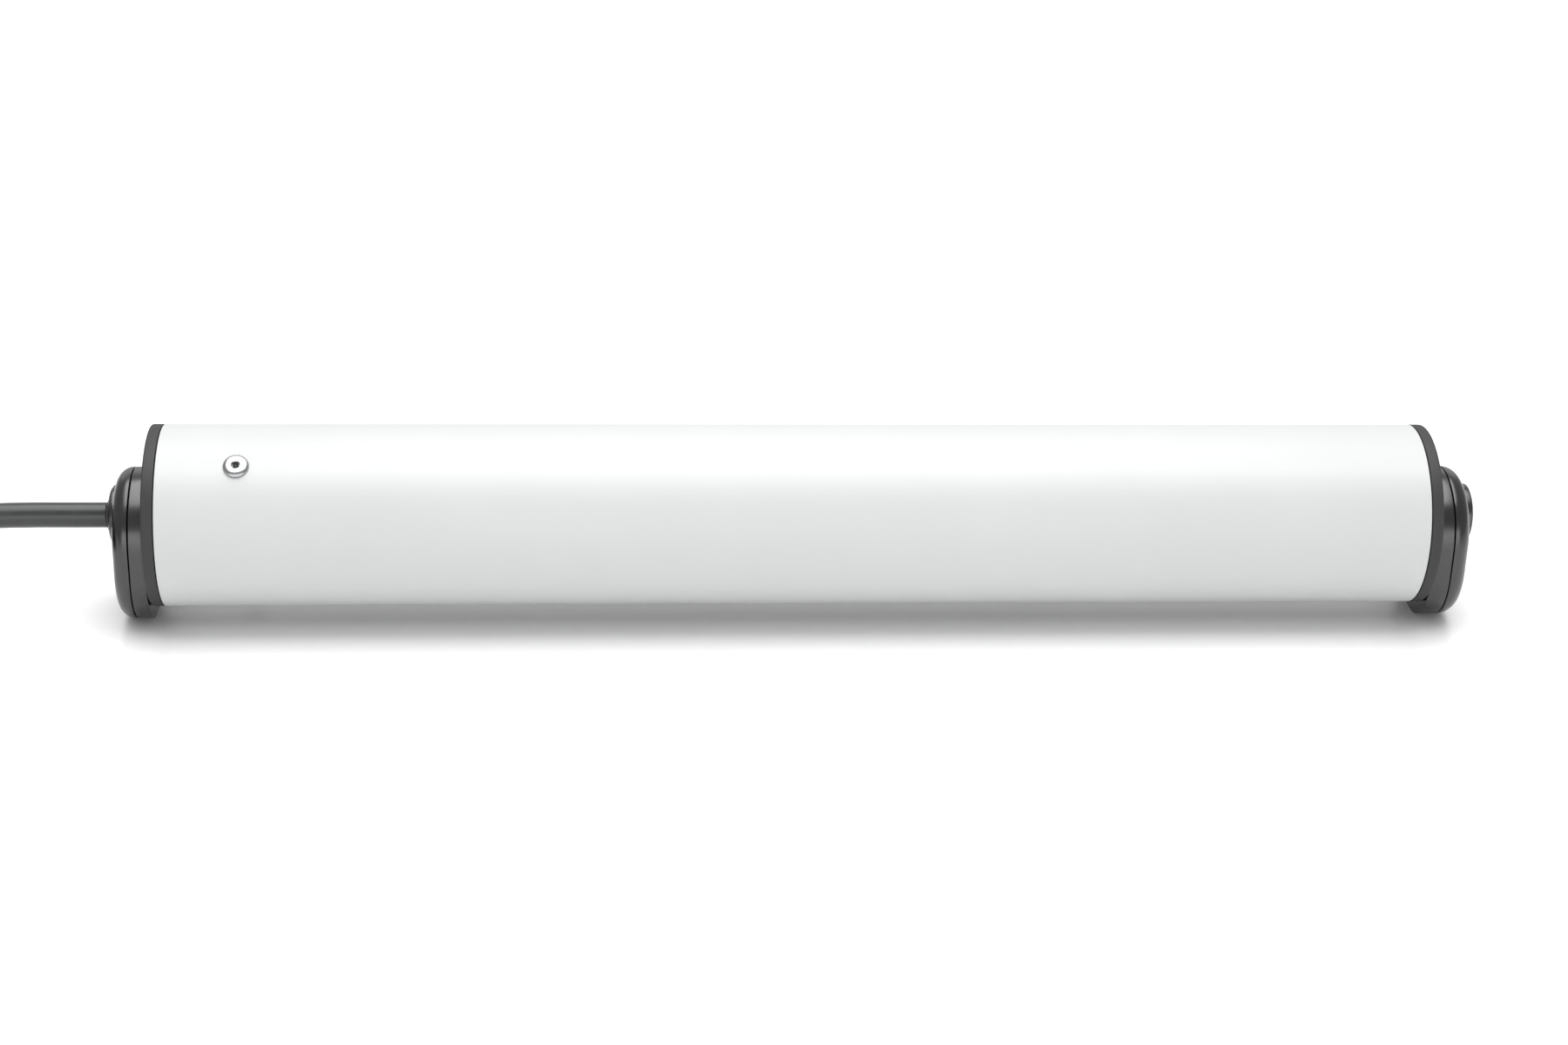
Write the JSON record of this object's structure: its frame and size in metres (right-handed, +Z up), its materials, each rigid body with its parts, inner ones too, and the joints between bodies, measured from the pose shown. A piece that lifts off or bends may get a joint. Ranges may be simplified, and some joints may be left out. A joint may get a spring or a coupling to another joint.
{
  "type": "roller shutter motor",
  "caption": "Motorised roller tube with a tubular motor inside, black end rings and end brackets, and a mains cable from the left bracket.",
  "frame": {"origin": "on the surface the brackets stand on, under the middle of the tube", "axes": "+X along the tube away from the cable end, +Z up, -Y towards the front"},
  "size_m": [0.6354, 0.1134, 0.0651],
  "materials": {
    "anodised_tube": "satin",
    "bracket_black": "satin",
    "ring_black": "matte",
    "rubber_black": "matte",
    "cable_sheath": "satin",
    "core_brown": "satin",
    "core_black": "satin",
    "core_blue": "satin",
    "core_earth": "satin",
    "rivet_steel": "bright",
    "zinc_steel": "satin",
    "steel": "bright",
    "electrical_steel": "satin",
    "winding_copper": "satin",
    "grey_acetal": "matte",
    "white_acetal": "satin",
    "circuit_board": "matte",
    "brake_lining": "matte"
  },
  "bodies": {
    "root": {"left_bracket_base": "bracket_black", "left_bracket_cover": "bracket_black", "left_bracket_screw_1": "zinc_steel", "left_bracket_screw_2": "zinc_steel", "left_outlet_boss": "bracket_black", "right_bracket_base": "bracket_black", "right_bracket_cover": "bracket_black", "right_bracket_screw_1": "zinc_steel", "right_bracket_screw_2": "zinc_steel", "right_axle_cap": "bracket_black", "motor_head": "grey_acetal", "motor_case": "zinc_steel", "limit_board": "circuit_board", "limit_switch_up": "ring_black", "limit_switch_down": "ring_black", "capacitor": "grey_acetal", "motor_end_shield": "grey_acetal", "stator_core": "electrical_steel", "stator_winding_left": "winding_copper", "stator_winding_right": "winding_copper", "brake_coil": "winding_copper", "brake_plate": "steel", "gear_ring": "grey_acetal", "gearbox_flange": "zinc_steel", "idler_axle": "zinc_steel", "bearing_inner_ring": "steel", "cable_strain_relief": "rubber_black", "cable_run": "cable_sheath", "cable_coil": "cable_sheath", "cable_tail": "cable_sheath", "core_brown": "core_brown", "core_black": "core_black", "core_blue": "core_blue", "core_earth": "core_earth"},
    "roller": {"roller_tube": "anodised_tube", "left_end_ring": "ring_black", "right_end_ring": "ring_black", "tube_rivet_1": "rivet_steel", "tube_rivet_2": "rivet_steel", "limit_crown": "grey_acetal", "drive_wheel": "ring_black", "output_carrier": "steel", "bearing_outer_ring": "steel"},
    "rotor": {"rotor_core": "electrical_steel", "motor_shaft": "steel", "brake_disc": "brake_lining"},
    "first_carrier": {"carrier_1": "steel"},
    "planet_1_1": {"planet_1_1": "steel"},
    "planet_1_2": {"planet_1_2": "steel"},
    "planet_1_3": {"planet_1_3": "steel"},
    "planet_2_1": {"planet_2_1": "steel"},
    "planet_2_2": {"planet_2_2": "steel"},
    "planet_2_3": {"planet_2_3": "steel"},
    "limit_cams": {"limit_pinion": "white_acetal", "limit_spindle": "steel", "limit_cam_up": "white_acetal", "limit_cam_down": "white_acetal"},
    "brake_armature": {"brake_armature": "steel"},
    "limit_adjuster_up": {"limit_adjuster_up": "white_acetal"},
    "limit_adjuster_down": {"limit_adjuster_down": "white_acetal"}
  },
  "joints": [
    {"name": "roller_turn", "type": "hinge", "parent": "root", "child": "roller", "pos_m": [0, 0, 0.0351], "axis": [1, 0, 0], "continuous": true},
    {"name": "rotor_turn", "type": "hinge", "parent": "root", "child": "rotor", "pos_m": [0, 0, 0.0351], "axis": [1, 0, 0], "continuous": true},
    {"name": "carrier_turn", "type": "hinge", "parent": "root", "child": "first_carrier", "pos_m": [0, 0, 0.0351], "axis": [1, 0, 0], "continuous": true},
    {"name": "planet_1_1_turn", "type": "hinge", "parent": "first_carrier", "child": "planet_1_1", "pos_m": [0, 0.01128, 0.0351], "axis": [1, 0, 0], "continuous": true},
    {"name": "planet_1_2_turn", "type": "hinge", "parent": "first_carrier", "child": "planet_1_2", "pos_m": [0, -0.00564, 0.04487], "axis": [1, 0, 0], "continuous": true},
    {"name": "planet_1_3_turn", "type": "hinge", "parent": "first_carrier", "child": "planet_1_3", "pos_m": [0, -0.00564, 0.02533], "axis": [1, 0, 0], "continuous": true},
    {"name": "planet_2_1_turn", "type": "hinge", "parent": "roller", "child": "planet_2_1", "pos_m": [0, 0.01128, 0.0351], "axis": [1, 0, 0], "continuous": true},
    {"name": "planet_2_2_turn", "type": "hinge", "parent": "roller", "child": "planet_2_2", "pos_m": [0, -0.00564, 0.04487], "axis": [1, 0, 0], "continuous": true},
    {"name": "planet_2_3_turn", "type": "hinge", "parent": "roller", "child": "planet_2_3", "pos_m": [0, -0.00564, 0.02533], "axis": [1, 0, 0], "continuous": true},
    {"name": "limit_cams_turn", "type": "hinge", "parent": "root", "child": "limit_cams", "pos_m": [0, 0, 0.0513], "axis": [1, 0, 0], "continuous": true},
    {"name": "brake_release", "type": "slide", "parent": "root", "child": "brake_armature", "axis": [-1, 0, 0], "range_m": [0, 0.0012], "stiffness_N_per_m": 600, "springref_m": -0.003},
    {"name": "adjust_up_turn", "type": "hinge", "parent": "root", "child": "limit_adjuster_up", "pos_m": [0, -0.00848, 0.02499], "axis": [1, 0, 0], "continuous": true},
    {"name": "adjust_down_turn", "type": "hinge", "parent": "root", "child": "limit_adjuster_down", "pos_m": [0, 0.00848, 0.02499], "axis": [1, 0, 0], "continuous": true}
  ],
  "couplings": [
    {"joint": "rotor_turn", "follows": "roller_turn", "ratio": 25},
    {"joint": "carrier_turn", "follows": "roller_turn", "ratio": 5},
    {"joint": "planet_1_1_turn", "follows": "roller_turn", "ratio": -13.333},
    {"joint": "planet_1_2_turn", "follows": "roller_turn", "ratio": -13.333},
    {"joint": "planet_1_3_turn", "follows": "roller_turn", "ratio": -13.333},
    {"joint": "planet_2_1_turn", "follows": "roller_turn", "ratio": -2.6667},
    {"joint": "planet_2_2_turn", "follows": "roller_turn", "ratio": -2.6667},
    {"joint": "planet_2_3_turn", "follows": "roller_turn", "ratio": -2.6667},
    {"joint": "limit_cams_turn", "follows": "roller_turn", "ratio": 3.0769}
  ]
}
